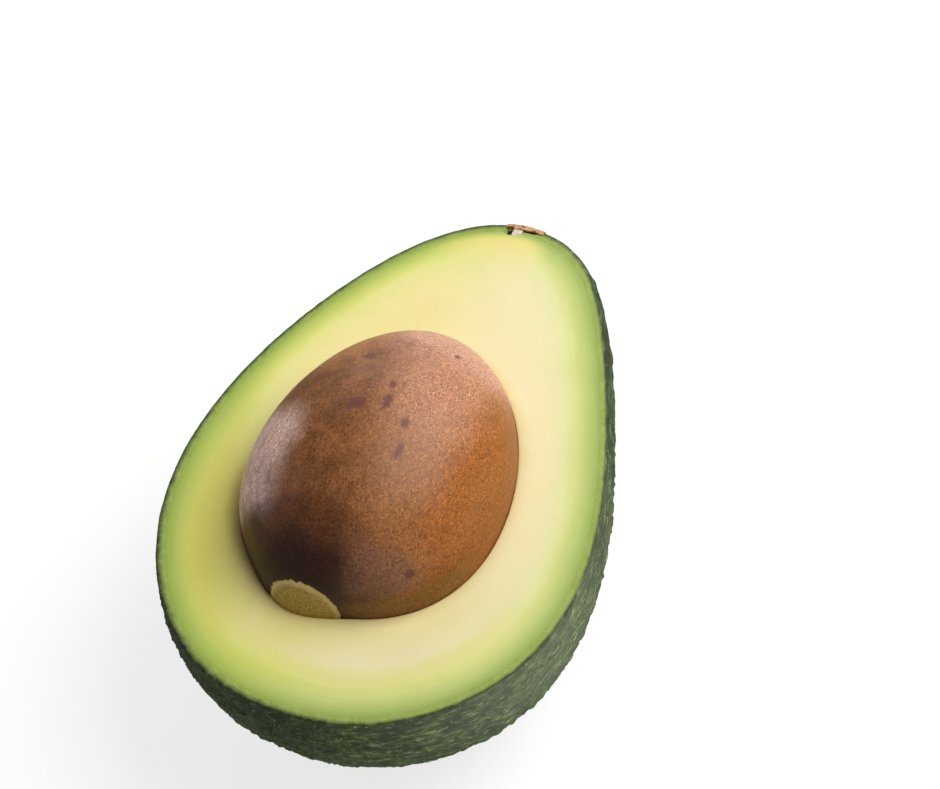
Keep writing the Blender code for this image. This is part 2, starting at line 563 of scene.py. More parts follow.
def make_peel(material):
    """The rind: a pebbly bowl with its cut edge."""
    directions = square_to_bowl(PEEL_GRID)
    outer = FRUIT_MIDDLE + directions * FRUIT.reach(FRUIT_MIDDLE, directions)[:, None]
    edge = square_edge(PEEL_GRID)
    outer[edge, 2] = CUT_HEIGHT
    row = PEEL_GRID + 1
    faces = []
    for down in range(PEEL_GRID):
        for over in range(PEEL_GRID):
            corner = down * row + over
            faces.append((corner, corner + 1, corner + row + 1, corner + row))

    edge_directions = directions[edge]
    edge_directions[:, 2] = 0.0
    edge_directions /= np.linalg.norm(edge_directions, axis=1)[:, None]
    points = list(outer)
    outer_reach = FRUIT.reach(FRUIT_MIDDLE, edge_directions)
    inner_reach = FRUIT.shrunk(PEEL_THICKNESS).reach(FRUIT_MIDDLE, edge_directions)
    shares = [1.0] * len(points)
    depths = [0.0] * len(points)
    for index in edge:
        points[index][2] -= PEEL_OUTER_DROP
    above = edge
    for depth, drop in zip(PEEL_EDGE_DEPTHS, PEEL_EDGE_DROPS):
        inward = depth / PEEL_THICKNESS
        reach = outer_reach * (1.0 - inward) + inner_reach * inward
        spots = FRUIT_MIDDLE + edge_directions * reach[:, None]
        spots[:, 2] -= drop
        start = len(points)
        points.extend(spots)
        shares += [(1.0 - inward) ** 1.5] * len(edge)
        depths += [depth] * len(edge)
        below = [start + index for index in range(len(edge))]
        for index in range(len(edge)):
            after = (index + 1) % len(edge)
            faces.append((above[index], above[after], below[after], below[index]))
        above = below

    # The inner wall starts at the square grid's first corner, so its rows are turned to match.
    first_turn = math.atan2(edge_directions[0, 1], edge_directions[0, 0])
    inner_row = bowl_row(FRUIT.shrunk(PEEL_THICKNESS), FRUIT_MIDDLE, PEEL_THICKNESS, first_turn)
    before = len(points)
    rows = hidden_rows(len(edge), PEEL_HIDDEN_COLUMNS)
    faces += halving_rings(above[0], len(edge), rows, inner_row, points)
    shares += [0.0] * (len(points) - before)
    depths += [PEEL_THICKNESS] * (len(points) - before)
    points = notch_for_scar(points)

    piece = new_piece("peel_rind", points, faces, {"relief_share": shares, "edge_depth": depths})
    sizes = {
        "Middle": Vector(FRUIT_MIDDLE), "Calm Edge": 6.0 * MM,
        "Pebble Size": 2.3 * MM, "Pebble Height": 0.36 * MM,
        "Fold Size": 1.5 * MM, "Fold Height": 0.36 * MM,
        "Swell Size": 9.0 * MM, "Swell Height": 0.40 * MM,
        "Grain Size": 0.9 * MM, "Grain Height": 0.08 * MM}
    return grow(piece, "peel_relief", peel_relief, sizes, material)


def peel_relief(board, shape, sizes):
    """Lifts the rind into pebbles and level folds, and keeps the rest spot flat."""
    place = board.add("GeometryNodeInputPosition")
    share = board.stored("relief_share")
    below_cut = sizes["Middle"].part(2) - place.part(2)
    share = share * below_cut.ease(0.0, sizes["Calm Edge"], 0.2, 1.0)
    squat = place * Vector((1.0, 1.0, 1.7))
    warp = (board.noise(squat, sizes["Pebble Size"] * 2.5, detail=2.0) - 0.5) * 1.6
    pebble = board.domes(squat + warp * sizes["Pebble Size"], sizes["Pebble Size"])
    patchy = board.noise(place, sizes["Pebble Size"] * 2.0, detail=1.0).ease(0.3, 0.7, 0.3, 1.0)
    crinkled = place.part(1).ease(CRINKLE_START, CRINKLE_FULL)
    level = place * (crinkled * Vector((-0.2, -0.2, 0.5)) + Vector((0.5, 0.5, 1.2)))
    fold = board.noise(level, sizes["Fold Size"], detail=3.0, roughness=0.6, distortion=0.25) - 0.5
    crinkle = fold.most(fold * -1.0).ease(0.0, 0.16)
    folded = board.noise(place, sizes["Fold Size"] * 6.0, detail=1.0).ease(0.3, 0.6, 0.35, 1.0)
    swell = board.noise(squat, sizes["Swell Size"], detail=2.0) - 0.5
    grain = board.noise(squat, sizes["Grain Size"], detail=2.0) - 0.5
    height = (pebble * patchy - 0.35) * sizes["Pebble Height"]
    height = height + (crinkle - 0.5) * folded * sizes["Fold Height"]
    height = height + swell * sizes["Swell Height"] + grain * sizes["Grain Height"]
    outward = (place - sizes["Middle"]).unit()
    moved = place + outward * (height * share)
    moved = moved.most(Vector((-1.0, -1.0, 0.0)))
    for name, value in (("crest", pebble * patchy), ("crease", 1.0 - crinkle)):
        shape = board.add(
            "GeometryNodeStoreNamedAttribute", {"data_type": "FLOAT", "domain": "POINT"},
            {"Geometry": shape, "Name": name, "Value": value})
    return board.add("GeometryNodeSetPosition", inputs={"Geometry": shape, "Position": moved})


def make_pores(peel, material):
    """The rind's raised breathing pores, scattered over its outside."""
    piece = bpy.data.objects.new("peel_pores", peel.data.copy())
    bpy.context.scene.collection.objects.link(piece)
    sizes = {
        "Spacing": 1.6 * MM, "Pore Radius": 0.17 * MM, "Flatness": 0.45,
        "Bare Below": 0.5 * MM, "Seed": 7}
    return grow(piece, "scattered_pores", scattered_pores, sizes, material)


def scattered_pores(board, shape, sizes):
    """Small flattened beads on the outside of a surface, no closer than a spacing."""
    off_the_rest = board.add("GeometryNodeInputPosition").part(2) / sizes["Bare Below"]
    on_outside = board.stored("relief_share").least(off_the_rest)
    outside = board.add("ShaderNodeMath", {"operation": "GREATER_THAN"}, {0: on_outside, 1: 0.99})
    density = 1.0 / (sizes["Spacing"] * sizes["Spacing"])
    scatter = board.tree.nodes.new("GeometryNodeDistributePointsOnFaces")
    scatter.distribute_method = "POISSON"
    links = board.tree.links
    links.new(shape.socket, scatter.inputs["Mesh"])
    links.new(outside.socket, scatter.inputs["Selection"])
    links.new(sizes["Spacing"].socket, scatter.inputs["Distance Min"])
    links.new(density.socket, scatter.inputs["Density Max"])
    links.new(sizes["Seed"].socket, scatter.inputs["Seed"])
    bead = board.add(
        "GeometryNodeMeshIcoSphere", inputs={"Radius": sizes["Pore Radius"], "Subdivisions": 1})
    bead = board.add("GeometryNodeSetShadeSmooth", inputs={"Geometry": bead})
    random_size = board.add(
        "FunctionNodeRandomValue", {"data_type": "FLOAT"}, {2: 0.4, 3: 1.3, "Seed": sizes["Seed"]},
        output=1)
    size = board.add(
        "ShaderNodeCombineXYZ", inputs={0: random_size, 1: random_size, 2: random_size * sizes["Flatness"]})
    return board.add(
        "GeometryNodeInstanceOnPoints",
        inputs={"Points": Wire(board, scatter.outputs["Points"]), "Instance": bead,
                "Rotation": Wire(board, scatter.outputs["Rotation"]), "Scale": size})


# ---------------------------------------------------------------------------------------------
# Flesh
# ---------------------------------------------------------------------------------------------

FLESH_COLUMNS = 960
FLESH_HIDDEN_COLUMNS = 60
FLESH_MIDDLE = np.array((STONE_CENTRE.x, STONE_CENTRE.y, CUT_HEIGHT))
# The cut face runs this far past the peel's inner edge, so no gap shows between them.
FLESH_OVERLAP = 0.02 * MM
FLESH_EDGE_STEPS = (0.0, 0.08 * MM, 0.2 * MM, 0.4 * MM, 0.7 * MM, 1.1 * MM)
FLESH_LIP_STEPS = (0.6 * MM, 0.4 * MM, 0.26 * MM, 0.15 * MM, 0.07 * MM, 0.02 * MM, 0.0)
FLESH_INNER_ROWS = 58
SEAM_DEPTH = 0.01 * MM
SEAM_WIDTH = 0.45 * MM
LIP_DEPTH = 0.18 * MM
STONE_SNUGNESS = 0.05 * MM


def make_flesh(material):
    """The flesh: a cut face with a gentle hand-cut surface, and the hollow around the stone."""
    directions = level_directions(FLESH_COLUMNS)
    outer_reach = FRUIT.shrunk(PEEL_THICKNESS - FLESH_OVERLAP).reach(FLESH_MIDDLE, directions)
    hollow = STONE.shrunk(-STONE_SNUGNESS)
    rim_points = FLESH_MIDDLE + directions * hollow.reach(FLESH_MIDDLE, directions)[:, None]
    rim_points = hollow.from_axis_frame(blunt_base(hollow.to_axis_frame(rim_points)))
    inner_reach = np.linalg.norm((rim_points - FLESH_MIDDLE)[:, :2], axis=1)
    points = []
    row_starts = []

    def add_row(reach, drop):
        spots = FLESH_MIDDLE + directions * reach[:, None]
        spots[:, 2] -= drop
        row_starts.append(len(points))
        points.extend(spots)

    for step in FLESH_EDGE_STEPS:
        add_row(outer_reach - step, SEAM_DEPTH * (1.0 - smooth_step(step / SEAM_WIDTH)))
    first = outer_reach - FLESH_EDGE_STEPS[-1]
    last = inner_reach + FLESH_LIP_STEPS[0]
    for row in range(1, FLESH_INNER_ROWS):
        share = row / FLESH_INNER_ROWS
        add_row(first * (1.0 - share) + last * share, 0.0)
    for step in FLESH_LIP_STEPS:
        roundness = 1.0 - math.sqrt(max(0.0, 1.0 - (1.0 - step / FLESH_LIP_STEPS[0]) ** 2))
        add_row(inner_reach + step, LIP_DEPTH * roundness)

    faces = []
    for upper, lower in zip(row_starts, row_starts[1:]):
        for index in range(FLESH_COLUMNS):
            after = (index + 1) % FLESH_COLUMNS
            faces.append((upper + index, upper + after, lower + after, lower + index))

    face_count = len(points)
    skin_row = bowl_row(FRUIT.shrunk(PEEL_THICKNESS + FLESH_CLEARANCE), FLESH_MIDDLE, FLESH_LOW[2])
    hollow_row = bowl_row(STONE.shrunk(-FLESH_CLEARANCE), FLESH_MIDDLE)
    rows = hidden_rows(FLESH_COLUMNS, FLESH_HIDDEN_COLUMNS)
    faces += halving_rings(row_starts[0], FLESH_COLUMNS, rows, skin_row, points)
    faces += halving_rings(row_starts[-1], FLESH_COLUMNS, rows, hollow_row, points)

    points = notch_for_scar(points)
    skin_depth = nearest_distance(points, points[row_starts[0]:row_starts[0] + FLESH_COLUMNS])
    stone_depth = nearest_distance(points, points[row_starts[-1]:row_starts[-1] + FLESH_COLUMNS])
    on_cut = np.zeros(len(points))
    on_cut[:face_count] = 1.0
    piece = new_piece(
        "flesh_cut", points, faces,
        {"skin_depth": skin_depth, "stone_depth": stone_depth, "on_cut": on_cut})
    sizes = {
        "Calm Edge": 3.0 * MM, "Wave Size": 14.0 * MM, "Wave Height": 0.22 * MM,
        "Grain Size": 1.6 * MM, "Grain Height": 0.02 * MM}
    return grow(piece, "hand_cut_relief", hand_cut_relief, sizes, material)


def nearest_distance(points, outline):
    """Distance in the cut plane from each point to the nearest point of an outline."""
    tree = KDTree(len(outline))
    for index, spot in enumerate(outline):
        tree.insert((spot[0], spot[1], 0.0), index)
    tree.balance()
    return np.array([tree.find((spot[0], spot[1], 0.0))[2] for spot in points])


def hand_cut_relief(board, shape, sizes):
    """Slight waves across the cut face, fading out towards its edges."""
    place = board.add("GeometryNodeInputPosition")
    from_edges = board.stored("skin_depth").least(board.stored("stone_depth"))
    share = board.stored("on_cut") * from_edges.ease(0.0, sizes["Calm Edge"])
    wave = board.noise(place, sizes["Wave Size"], detail=1.0) - 0.5
    grain = board.noise(place, sizes["Grain Size"], detail=2.0) - 0.5
    height = (wave * sizes["Wave Height"] + grain * sizes["Grain Height"]) * share
    offset = board.add("ShaderNodeCombineXYZ", inputs={2: height})
    return board.add("GeometryNodeSetPosition", inputs={"Geometry": shape, "Offset": offset})


# ---------------------------------------------------------------------------------------------
# Stone
# ---------------------------------------------------------------------------------------------

STONE_FINENESS = 7


def make_stone(material):
    """The stone: a blunt egg in a thin coat, a little lumpy, with its round base scar."""
    ball = bmesh.new()
    bmesh.ops.create_icosphere(ball, subdivisions=STONE_FINENESS, radius=1.0)
    directions = np.array([tuple(vertex.co) for vertex in ball.verts])
    faces = [tuple(vertex.index for vertex in face.verts) for face in ball.faces]
    ball.free()
    x = directions[:, 0] * STONE.half_length
    ring = np.maximum(np.hypot(directions[:, 1], directions[:, 2]), 1.0e-9)
    radius = STONE.radius_at(x)
    own = np.stack((x, radius * directions[:, 1] / ring, radius * directions[:, 2] / ring), axis=1)
    points = STONE.from_axis_frame(blunt_base(own))
    piece = new_piece(
        "stone_coat", points, faces,
        {"along": own[:, 0], "across": own[:, 1], "upward": own[:, 2]})
    sizes = {
        "Lump Size": 16.0 * MM, "Lump Height": 0.5 * MM, "Crease Height": 0.16 * MM,
        "Crease Width": 0.5 * MM,
        "Grain Size": 0.8 * MM, "Grain Height": 0.035 * MM, "Scar Radius": BASE_SCAR_RADIUS}
    return grow(piece, "stone_relief", stone_relief, sizes, material)


def stone_own_frame(board, read):
    """Place in the stone's own frame, from the numbers stored on its mesh."""
    return board.add(
        "ShaderNodeCombineXYZ", inputs={0: read("along"), 1: read("across"), 2: read("upward")})


def from_base_scar(board, own, ragged_size, detail):
    """Ragged distance from the base scar's middle, and a share that is 1 at the stone's blunt end."""
    flat = own * Vector((0.0, 1.0, 1.0)) - BASE_SCAR_OFFSET
    ragged = (board.noise(own, ragged_size, detail=detail) - 0.5) * BASE_SCAR_RAGGED
    return flat.length() + ragged, own.part(0).ease(BASE_START, BASE_FULL)


def stone_relief(board, shape, sizes):
    """Lumps, a crease around the base and fine grain on the stone."""
    own = stone_own_frame(board, board.stored)
    normal = board.add("GeometryNodeInputNormal")
    lump = board.noise(own, sizes["Lump Size"], detail=1.5) - 0.5
    grain = board.noise(own, sizes["Grain Size"], detail=3.0) - 0.5
    from_scar, at_base = from_base_scar(board, own, 2.5 * MM, detail=2.0)
    groove = (from_scar - sizes["Scar Radius"]) / sizes["Crease Width"]
    groove = (groove * groove * -1.0 + 1.0).most(0.0) * at_base
    height = lump * sizes["Lump Height"] + grain * sizes["Grain Height"] - groove * sizes["Crease Height"]
    return board.add("GeometryNodeSetPosition", inputs={"Geometry": shape, "Offset": normal * height})


# ---------------------------------------------------------------------------------------------
# Stem scar
# ---------------------------------------------------------------------------------------------

SCAR_COLUMNS = 96
SCAR_ROWS = 40
FLAKE_DEPTH = 0.85 * MM
FLAKE_HEIGHT = 0.14 * MM
POCKET_DEPTH = 0.85 * MM
GROOVE_DEPTH = 0.60 * MM
PITH_DEPTH = 0.10 * MM


def make_scar(material):
    """The stem's dry base: a torn flake of bark, a pocket at its +Y end painted dark as shade, and pale
    pith below.
    """
    side, across = np.meshgrid(
        np.linspace(-1.0, 1.0, SCAR_COLUMNS + 1), np.linspace(0.0, 1.0, SCAR_ROWS + 1))
    side = side.ravel()
    across = across.ravel()
    level = SCAR_SIDE + side * SCAR_HALF_WIDTH
    directions = np.stack((np.full(len(level), FRUIT_HALF_LENGTH), level, np.zeros(len(level))), axis=1)
    directions /= np.linalg.norm(directions, axis=1)[:, None]
    rim = FRUIT.reach(FRUIT_MIDDLE, directions) + SCAR_PROUD
    from_rim = across * np.maximum(scar_width(side), 0.05 * MM)
    spots = FRUIT_MIDDLE + directions * (rim - from_rim)[:, None]

    # Shares from 0 to 1; side runs from -1 at the -Y end to 1 at the +Y end.
    flake = 1.0 - smooth_step((from_rim - FLAKE_DEPTH) / (0.15 * MM))
    flake *= 1.0 - smooth_step((side - 0.84) / 0.1)
    pocket = smooth_step((side - 0.56) / 0.12) * smooth_step((from_rim - 0.45 * MM) / (0.25 * MM))
    groove = smooth_step((from_rim - FLAKE_DEPTH) / (0.12 * MM)) * (1.0 - smooth_step((side + 0.05) / 0.25))
    pith = (1.0 - flake) * (1.0 - pocket) * (1.0 - groove)
    top = FLAKE_HEIGHT * flake - POCKET_DEPTH * pocket - GROOVE_DEPTH * groove - PITH_DEPTH * pith
    edge = (1.0 - np.abs(side) ** 8) * (1.0 - np.abs(2.0 * across - 1.0) ** 8)
    depth = (SCAR_HIGH[2] - SCAR_LOW[2]) * np.sqrt(np.clip(edge * 0.9, 0.0, 1.0))

    row = SCAR_COLUMNS + 1
    upper = spots.copy()
    upper[:, 2] += top * smooth_step(edge * 4.0)
    lower = spots.copy()
    lower[:, 2] = CUT_HEIGHT - depth
    points = list(upper)
    faces = []
    for back in range(SCAR_ROWS):
        for over in range(SCAR_COLUMNS):
            corner = back * row + over
            faces.append((corner, corner + 1, corner + row + 1, corner + row))
    rim_points = set(range(row)) | set(range(SCAR_ROWS * row, (SCAR_ROWS + 1) * row))
    rim_points |= {index * row for index in range(SCAR_ROWS + 1)}
    rim_points |= {index * row + SCAR_COLUMNS for index in range(SCAR_ROWS + 1)}
    twin = {}
    for index in range(len(upper)):
        if index in rim_points:
            twin[index] = index
        else:
            twin[index] = len(points)
            points.append(lower[index])
    faces += [tuple(twin[index] for index in reversed(face)) for face in list(faces)]
    extra = len(points) - len(upper)
    numbers = {
        "flake": np.concatenate((flake, np.ones(extra))),
        "pith": np.concatenate((pith, np.zeros(extra)))}
    piece = new_piece("stem_scar_bark", points, faces, numbers)
    sizes = {"Flake Size": 0.8 * MM, "Flake Height": 0.30 * MM, "Pith Height": 0.16 * MM}
    return grow(piece, "bark_relief", bark_relief, sizes, material)


def bark_relief(board, shape, sizes):
    """Ragged bark and crumbly pith."""
    place = board.add("GeometryNodeInputPosition")
    normal = board.add("GeometryNodeInputNormal")
    rough = board.noise(place * Vector((1.0, 0.4, 1.0)), sizes["Flake Size"], detail=3.0) - 0.5
    crumb = board.noise(place, sizes["Flake Size"] * 0.7, detail=2.0) - 0.5
    height = rough * sizes["Flake Height"] * board.stored("flake")
    height = height + crumb * sizes["Pith Height"] * board.stored("pith")
    return board.add(
        "GeometryNodeSetPosition", inputs={"Geometry": shape, "Offset": normal * height})


# ---------------------------------------------------------------------------------------------
# Materials
# ---------------------------------------------------------------------------------------------


def new_material(name, settings):
    """A Principled material and its board; settings go on the shader's own sockets."""
    material = bpy.data.materials.new(name)
    material.use_nodes = True
    tree = material.node_tree
    shader = tree.nodes["Principled BSDF"]
    for socket, value in settings.items():
        shader.inputs[socket].default_value = value
    return material, Board(tree), shader


def plug(board, shader, **wires):
    """Joins wires to the shader's sockets, underscores standing for spaces."""
    for name, wire in wires.items():
        board.tree.links.new(wire.socket, shader.inputs[name.replace("_", " ")])


def object_place(board):
    """Place on the piece, in metres."""
    return board.add("ShaderNodeTexCoord", output="Object")


def rind_material():
    """Dark green, waxy, streaked rind, with painted highlights on its streaks and pebble crests and painted
    shade in its fold creases; its cut edge turns pale green inwards.
    """
    material, board, shader = new_material("waxy_rind", {
        "Specular IOR Level": 0.4, "Coat Roughness": 0.35, "Coat Weight": 0.06})
    place = object_place(board)
    crest = board.attribute("crest")
    crease = board.attribute("crease")
    mottle = board.noise(place, 11.0 * MM, detail=3.0)
    speckle = board.noise(place, 1.1 * MM, detail=3.0)
    crinkled = place.part(1).ease(CRINKLE_START, CRINKLE_FULL)
    stretched = board.noise(
        place * Vector((0.26, 0.26, 1.7)), 0.8 * MM, detail=4.0, roughness=0.65, distortion=0.3)
    even = board.noise(
        place * Vector((0.5, 0.5, 1.2)), 0.8 * MM, detail=4.0, roughness=0.65, distortion=0.5)
    streak = even + (stretched - even) * crinkled
    colour = board.blend(mottle.ease(0.35, 0.7), srgb(38, 50, 19), srgb(56, 72, 28))
    # Pale streaks: partly the rind's own tone, partly painted highlight that grows stronger on the -Y side;
    # their tips there take a pale grey painted highlight.
    streak_and_highlight_share = streak.ease(0.47, 0.66) * (crinkled * 0.40 + 0.40)
    colour = board.blend(streak_and_highlight_share, colour, srgb(106, 124, 74))
    painted_highlight_share = streak.ease(0.58, 0.72) * crinkled * 0.5
    colour = board.blend(painted_highlight_share, colour, srgb(132, 146, 112))
    colour = board.blend(speckle.ease(0.5, 0.8, 0.0, 0.30), colour, srgb(104, 124, 60))
    # Painted highlight on the pebble crests, and painted shade, nearly black, in the fold creases.
    colour = board.blend(crest.ease(0.3, 0.95, 0.0, 0.40), colour, srgb(84, 104, 52))
    colour = board.blend(crease.ease(0.4, 1.0, 0.0, 0.65), colour, srgb(26, 36, 14))
    depth = board.attribute("edge_depth")
    fringe = board.noise(place, 1.3 * MM, detail=3.0) - 0.5
    band_width = place.part(1).ease(10.0 * MM, -25.0 * MM, 1.35, 0.75)
    ragged = depth + fringe * (0.5 * MM) * band_width
    inner = board.blend(
        board.noise(place, 2.0 * MM).ease(0.35, 0.7), srgb(146, 166, 76), srgb(156, 176, 88))
    colour = board.blend(
        (ragged / band_width).ease(0.0, 0.95 * MM) * depth.ease(0.0, 0.1 * MM), colour, inner)
    rough = speckle.ease(0.3, 0.8, 0.34, 0.52) + place.part(2).ease(24.0 * MM, 36.0 * MM) * 0.22
    grain = streak + board.noise(place, 0.35 * MM, detail=3.0) * 0.4
    plug(board, shader, Base_Color=colour, Roughness=rough, Normal=board.bump(grain, 0.85, 0.30 * MM))
    return material


def pore_material():
    """Dull yellow-green corky pores."""
    material, board, shader = new_material("corky_pores", {"Roughness": 0.6})
    place = object_place(board)
    tone = board.noise(place, 3.0 * MM, detail=2.0)
    colour = board.blend(tone.ease(0.35, 0.65), srgb(66, 84, 38), srgb(132, 150, 88))
    plug(board, shader, Base_Color=colour)
    return material


FLESH_REACH = 16.0 * MM
# Colours of the cut flesh by mm of depth from the peel, up to the reach.
FLESH_STOPS = (
    (0.0, (157, 178, 90)),
    (0.9, (171, 190, 106)),
    (2.6, (196, 208, 124)),
    (4.3, (215, 220, 143)),
    (6.0, (227, 228, 166)),
    (7.8, (232, 228, 176)),
    (11.0, (238, 229, 182)),
    (16.0, (238, 227, 182)),
)


def flesh_material():
    """Moist flesh: green under the peel, yellow-green, then cream towards the stone."""
    material, board, shader = new_material("moist_flesh", {
        "Specular IOR Level": 0.4, "Coat Weight": 0.06, "Coat Roughness": 0.2,
        "Subsurface Weight": 0.15, "Subsurface Radius": (0.003, 0.0026, 0.0012), "Subsurface Scale": 1.0})
    place = object_place(board)
    along = place.part(0) / MM
    side = place.part(1) / MM
    depth = board.attribute("skin_depth") / MM
    stone_depth = board.attribute("stone_depth") / MM

    # The green band is a little wider on the +Y side, but not on the neck, and thinnest by the stem.
    width = side.ease(-12.0, 12.0, 0.92, 1.08) - along.ease(-15.0, -42.0) * 0.06
    width = width - side.ease(2.0, 14.0) * along.ease(-4.0, 12.0) * 0.42
    width = width * (1.0 - along.ease(38.0, 47.0) * side.ease(-8.0, -1.0) * 0.6)
    drift = (board.noise(place, 18.0 * MM, detail=2.0) - 0.5) * 1.8
    rings = board.add("ShaderNodeCombineXYZ", inputs={0: depth, 1: along / 16.0, 2: side / 16.0})
    streak = (board.noise(rings, 1.1, detail=3.0) - 0.5) * 1.3
    shifted = depth / width + drift * depth.ease(0.3, 5.0) + streak * depth.ease(0.2, 1.5)
    stops = [(at * MM / FLESH_REACH, srgb(*colour)) for at, colour in FLESH_STOPS]
    colour = board.add(
        "ShaderNodeValToRGB", {"stops": stops}, {0: shifted * (MM / FLESH_REACH)})

    at_round_end = along.ease(-12.0, -32.0)
    warm = side.ease(-8.0, 12.0) * 0.8 + at_round_end * stone_depth.ease(9.0, 2.0) * 0.6
    warm = warm + at_round_end * depth.ease(2.5, 5.0) * depth.ease(9.5, 7.0) * 0.7
    colour = board.blend(warm.least(1.0), colour, srgb(253, 252, 208), "MULTIPLY")

    cream = board.noise(place, 9.0 * MM, detail=2.0)
    colour = board.blend(
        cream.ease(0.45, 0.75, 0.0, 0.3) * depth.ease(6.0, 11.0), colour, srgb(242, 224, 170))
    by_stem = along.ease(39.0, 47.0) * side.ease(-7.0, 0.0) * depth.ease(0.4, 1.8)
    colour = board.blend(by_stem * 0.7, colour, srgb(238, 219, 132))

    # Painted shade on the side away from the light: darker, yellower flesh there, and an olive painted
    # shadow close to the stone.
    away = side.ease(10.0, 24.0) * along.ease(4.0, -16.0)
    colour = board.blend(away * depth.ease(1.8, 6.0) * 0.85, colour, srgb(214, 208, 102))
    by_stone = stone_depth + (board.noise(place, 3.0 * MM, detail=2.0) - 0.5) * 1.2
    colour = board.blend(by_stone.ease(0.0, 2.5, 0.5, 0.0), colour, srgb(224, 198, 128))
    # Olive painted shadow beside the stone, on the side away from the light.
    colour = board.blend(
        away * along.ease(-6.0, -16.0) * by_stone.ease(0.0, 3.4, 0.45, 0.0), colour, srgb(124, 104, 46))

    rough = board.noise(place, 4.0 * MM, detail=2.0).ease(0.3, 0.7, 0.32, 0.46)
    grain = board.noise(place, 0.7 * MM, detail=3.0)
    plug(board, shader, Base_Color=colour, Roughness=rough, Normal=board.bump(grain, 0.25, 0.08 * MM))
    return material


# Bruise-like spots on the stone's coat: mm along it from its middle, degrees round it from its top
# towards +Y, and the spot's half length and half width in mm.
STONE_SPOTS = (
    (1.5, 8.0, 1.5, 0.6),
    (2.0, 4.5, 1.0, 0.75),
    (4.0, -6.0, 2.0, 0.65),
    (7.5, -4.0, 1.0, 0.6),
    (1.5, -17.0, 1.15, 0.65),
    (-3.5, -20.0, 1.5, 0.65),
    (19.5, -27.0, 0.7, 0.5),
    (12.5, 17.0, 0.8, 1.0),
    (-19.0, -55.0, 1.1, 0.8),
    (6.0, 139.0, 1.3, 0.8),
)


def on_stone(along, turn):
    """Place on the stone's coat in its own frame, from a distance along it and a turn from its top."""
    radius = float(STONE.radius_at(along))
    return Vector((along, radius * math.sin(turn), radius * math.cos(turn)))


